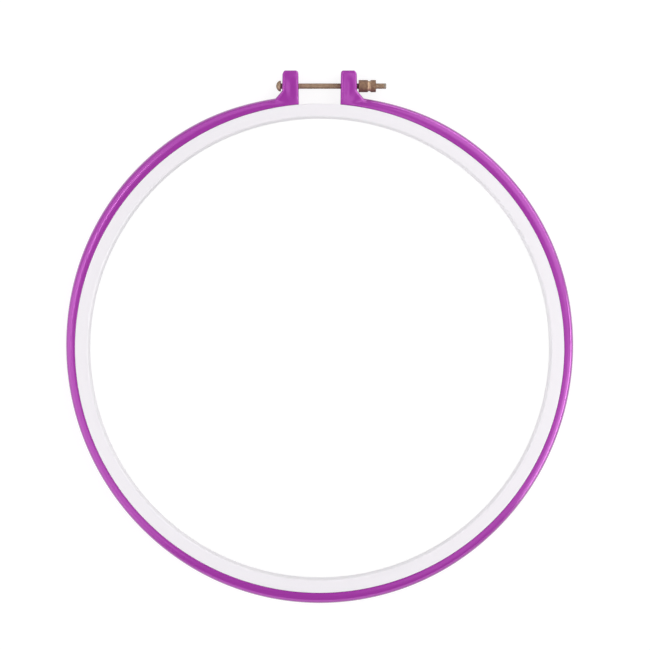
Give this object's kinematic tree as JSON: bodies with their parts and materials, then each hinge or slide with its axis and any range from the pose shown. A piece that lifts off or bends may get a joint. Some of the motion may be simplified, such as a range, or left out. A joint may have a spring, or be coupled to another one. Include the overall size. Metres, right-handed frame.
{
  "type": "embroidery hoop",
  "caption": "Screw-clamped embroidery hoop: a closed inner ring in a split outer ring, whose lugs are joined by a long machine screw with a knurled thumb nut.",
  "frame": {"origin": "centre of the hoops, on their axis at the middle of their depth", "axes": "+Z along the hoops' axis, +Y from the centre towards the clamping lugs, +X along the screw towards the thumb nut"},
  "size_m": [0.2644, 0.2773, 0.01],
  "materials": {
    "hoop_colour": "moulded purple plastic, semi-gloss",
    "hoop_white": "moulded white plastic, satin",
    "hardware": "antique brass plating, dull"
  },
  "bodies": {
    "outer_hoop": {"outer_hoop": "hoop_colour"},
    "inner_hoop": {"inner_hoop": "hoop_white"},
    "clamp_screw": {"clamp_screw": "hardware"},
    "thumb_nut": {"thumb_nut": "hardware"}
  },
  "joints": [
    {"name": "inner_lift", "type": "slide", "parent": "outer_hoop", "child": "inner_hoop", "axis": [0, 0, 1], "range_m": [0, 0.016]},
    {"name": "screw_slide", "type": "slide", "parent": "outer_hoop", "child": "clamp_screw", "axis": [1, 0, 0], "range_m": [-0.0054, 0.0007]},
    {"name": "nut_spin", "type": "hinge", "parent": "outer_hoop", "child": "thumb_nut", "pos_m": [0.025, 0.13675, 0], "axis": [1, 0, 0], "range_deg": [-505, 3889]}
  ],
  "couplings": [
    {"joint": "nut_spin", "follows": "screw_slide", "rad_per_m": -12566}
  ]
}
